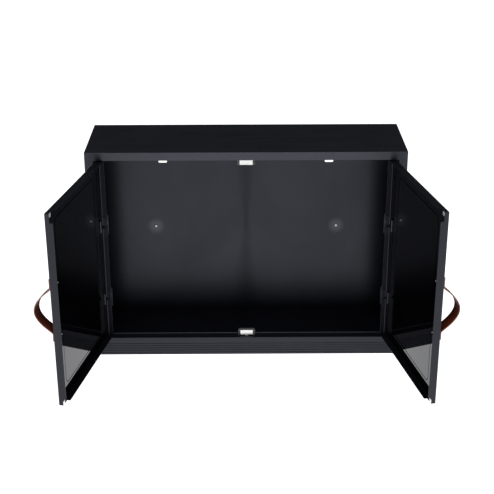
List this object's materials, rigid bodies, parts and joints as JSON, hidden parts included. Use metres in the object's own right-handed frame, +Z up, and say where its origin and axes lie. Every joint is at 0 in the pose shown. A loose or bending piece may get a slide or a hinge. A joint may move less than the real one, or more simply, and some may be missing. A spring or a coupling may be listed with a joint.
{
  "type": "media cabinet",
  "caption": "Low steel media cabinet with inset double doors on pin hinges, gloss black door liners, magnetic catches, leather strap pulls and wall hanging slots.",
  "frame": {"origin": "middle of the front lower edge of the cabinet, on the floor", "axes": "+Z up, +Y from the front of the cabinet towards the wall behind it, +X to the right seen from the front"},
  "size_m": [1.223, 0.7501, 0.7],
  "materials": {
    "cabinet_paint": "satin black powder coat",
    "door_paint": "satin black powder coat",
    "gloss_liner": "mirror gloss black",
    "bright_zinc": "bright zinc",
    "magnet": "sintered ferrite",
    "grey_plastic": "moulded grey",
    "leather": "russet vegetable-tanned leather, waxed edges",
    "hinge_steel": "dark plated steel",
    "zinc_fastener": "zinc-plated"
  },
  "bodies": {
    "cabinet": {"top_panel": "cabinet_paint", "back_panel": "cabinet_paint", "back_screws": "zinc_fastener", "floor_panel": "cabinet_paint", "top_rail": "cabinet_paint", "bottom_rail": "cabinet_paint", "top_stop": "cabinet_paint", "bottom_stop": "cabinet_paint", "top_catch_bracket": "grey_plastic", "top_catch_magnet": "magnet", "top_catch_plate": "bright_zinc", "bottom_catch_bracket": "grey_plastic", "bottom_catch_magnet": "magnet", "bottom_catch_plate": "bright_zinc", "catch_screws": "zinc_fastener", "left_side_panel": "cabinet_paint", "left_stile": "cabinet_paint", "left_side_stop": "cabinet_paint", "left_hinge_frame_leaves": "hinge_steel", "left_hinge_frame_rivets": "zinc_fastener", "right_side_panel": "cabinet_paint", "right_stile": "cabinet_paint", "right_side_stop": "cabinet_paint", "right_hinge_frame_leaves": "hinge_steel", "right_hinge_frame_rivets": "zinc_fastener"},
    "left_door": {"left_door_pan": "door_paint", "left_door_liner": "gloss_liner", "left_hinge_door_leaves": "hinge_steel", "left_hinge_door_rivets": "zinc_fastener", "left_hinge_pins": "zinc_fastener", "left_strike_plates": "bright_zinc", "left_leather_strap": "leather", "left_strap_screws": "zinc_fastener", "left_strap_washers": "zinc_fastener", "left_strap_nuts": "zinc_fastener"},
    "right_door": {"right_door_pan": "door_paint", "right_door_liner": "gloss_liner", "right_hinge_door_leaves": "hinge_steel", "right_hinge_door_rivets": "zinc_fastener", "right_hinge_pins": "zinc_fastener", "right_strike_plates": "bright_zinc", "right_leather_strap": "leather", "right_strap_screws": "zinc_fastener", "right_strap_washers": "zinc_fastener", "right_strap_nuts": "zinc_fastener"}
  },
  "joints": [
    {"name": "left_door_hinge", "type": "hinge", "parent": "cabinet", "child": "left_door", "pos_m": [-0.462, 0.0052, 0.326], "axis": [0, 0, 1], "range_deg": [-6.7, 101.3]},
    {"name": "right_door_hinge", "type": "hinge", "parent": "cabinet", "child": "right_door", "pos_m": [0.462, 0.0052, 0.326], "axis": [0, 0, -1], "range_deg": [-6.7, 101.3]}
  ]
}
